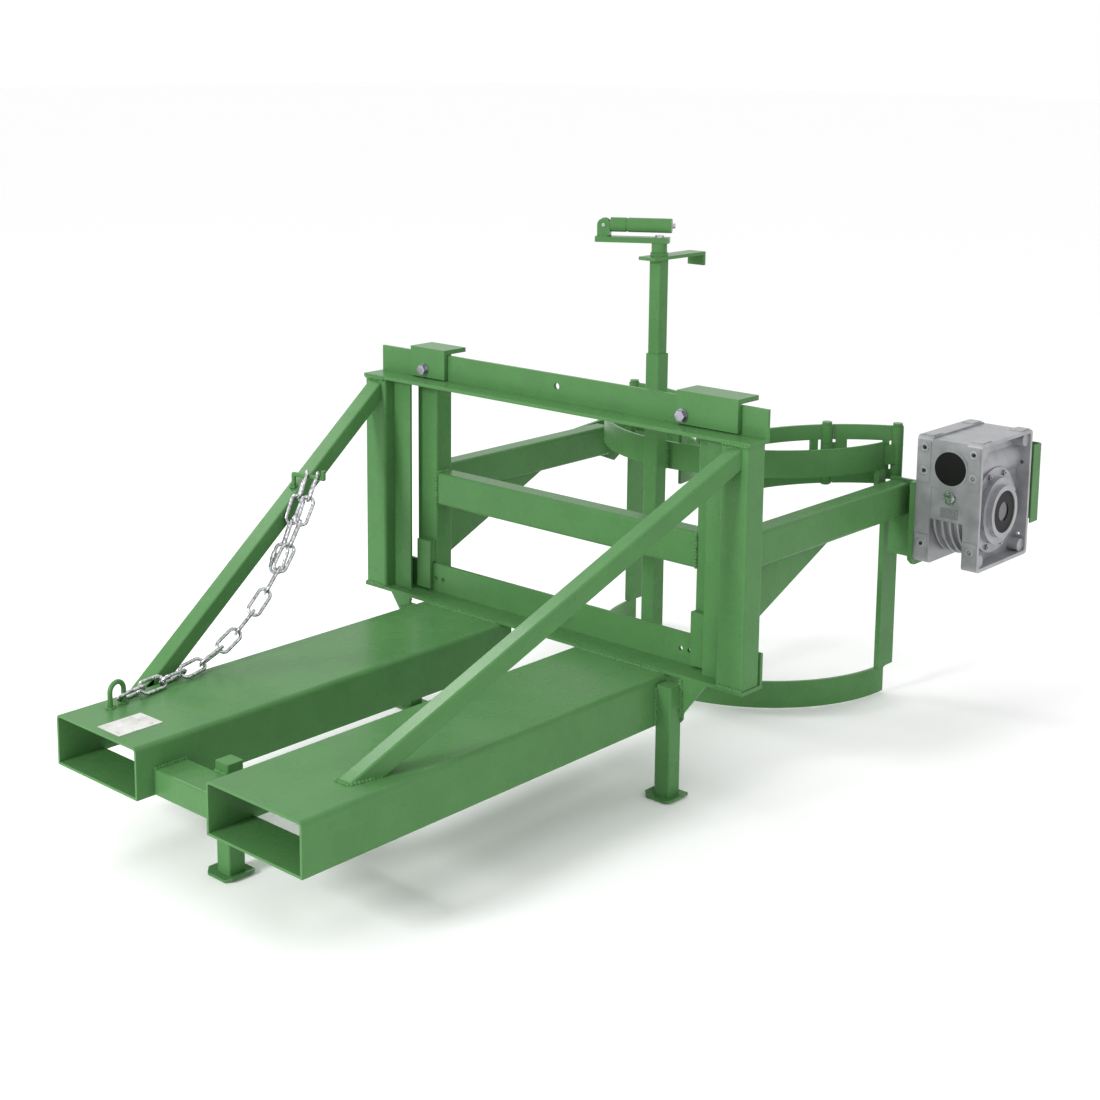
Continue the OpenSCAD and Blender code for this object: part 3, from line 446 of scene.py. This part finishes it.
# Each ring is a flattened torus: out from its middle circle by the cosine of the section's
# angle, and forward of the flange's face by its sine
def ringSurfaces(centers):
    sides, section = flangeRing["sides"], flangeRing["section"]
    roundHole = (np.arange(sides) * 2 * np.pi / sides)[None, :, None]
    roundSection = (np.arange(section) * 2 * np.pi / section)[None, None, :]
    out = flangeRing["middle"] + flangeRing["half"] * np.cos(roundSection)
    x = centers[:, 0, None, None] + out * np.cos(roundHole)
    y = centers[:, 1, None, None] - flangeRing["proud"] * np.sin(roundSection) + 0 * x
    z = centers[:, 2, None, None] + out * np.sin(roundHole)
    points = np.stack([x, y, z], axis=-1).reshape(-1, 3)
    counts = [np.arange(count) for count in (len(centers), sides, section)]
    ring, row, column = np.meshgrid(*counts, indexing="ij")
    nextRow, nextColumn = (row + 1) % sides, (column + 1) % section
    corners = [(row, column), (nextRow, column), (nextRow, nextColumn), (row, nextColumn)]
    faces = np.stack([(ring * sides + r) * section + c for r, c in corners], axis=-1).reshape(-1, 4)
    return points, faces.tolist()


boltHoles = {"fromSide": 0.015, "fromBottom": 0.036, "fromTop": (0.064, 0.022), "faceBehind": 0.0005}
holeSides = (boxLow[0] + boltHoles["fromSide"], boxHigh[0] - boltHoles["fromSide"])
holeHeights = [boxLow[2] + boltHoles["fromBottom"]] + [boxHigh[2] - t for t in boltHoles["fromTop"]]
faceAt = boxLow[1] + boltHoles["faceBehind"]
holes = np.array([[x, faceAt, z] for x in holeSides for z in holeHeights])
addSurface("flange_rings", *ringSurfaces(holes), "frame", slotMaterials["gearbox_casting"], True)

feedPlate = {
    "thick": 0.003,
    "bend": 0.006,
    "bendPoints": 9,
    "lip": 0.026,
    "reach": 0.0425,
    "under": 0.005,
    "over": 0.014,
}
bracketLow, bracketHigh = map(np.array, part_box("feed_bracket"))


# The plate's centre line is two legs joined by a quarter circle, half a thickness is added on
# both sides, and the outline is carried straight up
def bentPlate():
    half, bend = feedPlate["thick"] / 2, feedPlate["bend"]
    turn = np.linspace(np.pi / 2, 0, feedPlate["bendPoints"])
    outer = bracketHigh[0] + feedPlate["reach"] - half
    middle = np.array([outer - bend, bracketHigh[1] - half - bend])
    outward = np.vstack([[0, 1], np.stack([np.cos(turn), np.sin(turn)], axis=-1), [1, 0]])
    line = np.vstack([[bracketHigh[0], bracketHigh[1] - half],
                      middle + bend * outward[1:-1],
                      [outer, middle[1] - feedPlate["lip"]]])
    outline = np.vstack([(line + half * outward)[::-1], line - half * outward])
    count, legs = len(outline), len(line)
    low, high = bracketLow[2] + feedPlate["under"], bracketHigh[2] + feedPlate["over"]
    points = np.vstack([np.hstack([outline, np.full((count, 1), z)]) for z in (low, high)])
    here = np.arange(count)
    beside = (here + 1) % count
    walls = np.stack([here, beside, beside + count, here + count], axis=-1)
    step = np.arange(legs - 1)
    inner, facing = legs + step, legs - 1 - step
    cap = np.stack([inner, inner + 1, facing - 1, facing], axis=-1)
    return points, np.vstack([walls, cap + count, cap[:, ::-1]]).tolist()


softenEdges(addSurface("feed_plate", *bentPlate(), "frame", enamel, False), False)
print("gearbox details added")


# Floor, light and camera

studio = {"floorSize": 80, "floorDrop": 0.0005, "sky": 1.0, "floorDark": 0.985, "floorLight": 0.99}


def floorMaterial():
    made, tree, shader, place = material("white studio floor", {"Roughness": 0.9})
    # a tone shift 900 mm wide too faint to see as a pattern
    dark, light = ((v, v, v, 1) for v in (studio["floorDark"], studio["floorLight"]))
    tree.links.new(tint(tree, noise(tree, place, 900), dark, light), shader.inputs["Base Color"])
    return made


bpy.ops.mesh.primitive_plane_add(size=studio["floorSize"], location=(0, 0, -studio["floorDrop"]))
floor = bpy.context.object
floor.name = "floor"
floor.data.materials.append(floorMaterial())

world = bpy.data.worlds.new("studio")
scene.world = world
world.use_nodes = True
world.node_tree.nodes["Background"].inputs["Color"].default_value = (1, 1, 1, 1)
world.node_tree.nodes["Background"].inputs["Strength"].default_value = studio["sky"]


def areaLight(name, place, target, size, power):
    data = bpy.data.lights.new(name, "AREA")
    data.shape = "SQUARE"
    data.size = size
    data.energy = power
    light = bpy.data.objects.new(name, data)
    light.location = place
    light.rotation_euler = (Vector(target) - Vector(place)).to_track_quat("-Z", "Y").to_euler()
    scene.collection.objects.link(light)


# The key comes from the left in front of the pockets, the fill is faint on the gearbox side, and
# the rim light from behind the left post gives the braces their pale top faces
areaLight("key", (-0.5, -3.0, 2.0), (0, 0.9, 0.35), 0.7, 84)
areaLight("fill", (3.4, 0.6, 1.6), (0, 0.9, 0.3), 1.2, 3)
areaLight("rim", (-2.1, 0.7, 2.05), (0.27, 0.3, 0.3), 0.6, 17)

photo = {
    "place": (1.9659, -1.4417, 1.2018),
    "azimuth": 42.70,
    "elevation": 9.80,
    "roll": 0.33,
    "side": 1100,
    "focal": 1795.92,
    "middleX": 503.97,
    "middleY": 354.31,
    "sensor": 36,
}
azimuth, elevation, roll = (math.radians(photo[turn]) for turn in ("azimuth", "elevation", "roll"))
level = math.cos(elevation)
forward = Vector((-math.sin(azimuth) * level, math.cos(azimuth) * level, -math.sin(elevation)))
right = Vector((math.cos(azimuth), math.sin(azimuth), 0))
up = right.cross(forward)
right, up = (math.cos(roll) * right + math.sin(roll) * up, math.cos(roll) * up - math.sin(roll) * right)
cameraData = bpy.data.cameras.new("photo camera")
cameraData.sensor_width = photo["sensor"]
cameraData.lens = photo["focal"] * cameraData.sensor_width / photo["side"]
cameraData.shift_x = 0.5 - photo["middleX"] / photo["side"]
cameraData.shift_y = photo["middleY"] / photo["side"] - 0.5
camera = bpy.data.objects.new("photo camera", cameraData)
turned = Matrix((right, up, -forward)).transposed().to_4x4()
camera.matrix_world = Matrix.Translation(Vector(photo["place"])) @ turned
scene.collection.objects.link(camera)
scene.camera = camera
scene.view_settings.view_transform = "Standard"
print("light and camera set")
